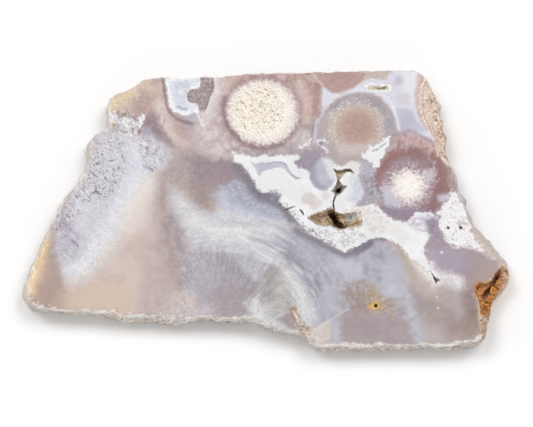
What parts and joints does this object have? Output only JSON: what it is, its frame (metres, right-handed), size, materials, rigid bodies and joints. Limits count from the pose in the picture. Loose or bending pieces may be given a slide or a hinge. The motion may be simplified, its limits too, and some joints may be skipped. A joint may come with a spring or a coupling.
{
  "type": "flower agate slice",
  "caption": "Thin sawn slab of banded stone with round flower-like orbs, small open crystal pockets and a rough natural rim.",
  "frame": {"origin": "on the sawn back, under the middle of the slab's outline", "axes": "+X along the slab's length, +Z from the sawn back to the polished face"},
  "size_m": [0.1198, 0.074, 0.006],
  "materials": {
    "agate": "polished face in cream, lilac-grey and mauve with white plumes, matte sawn back, rough chipped rim"
  },
  "bodies": {
    "root": {"agate_slice": "agate"}
  },
  "joints": []
}
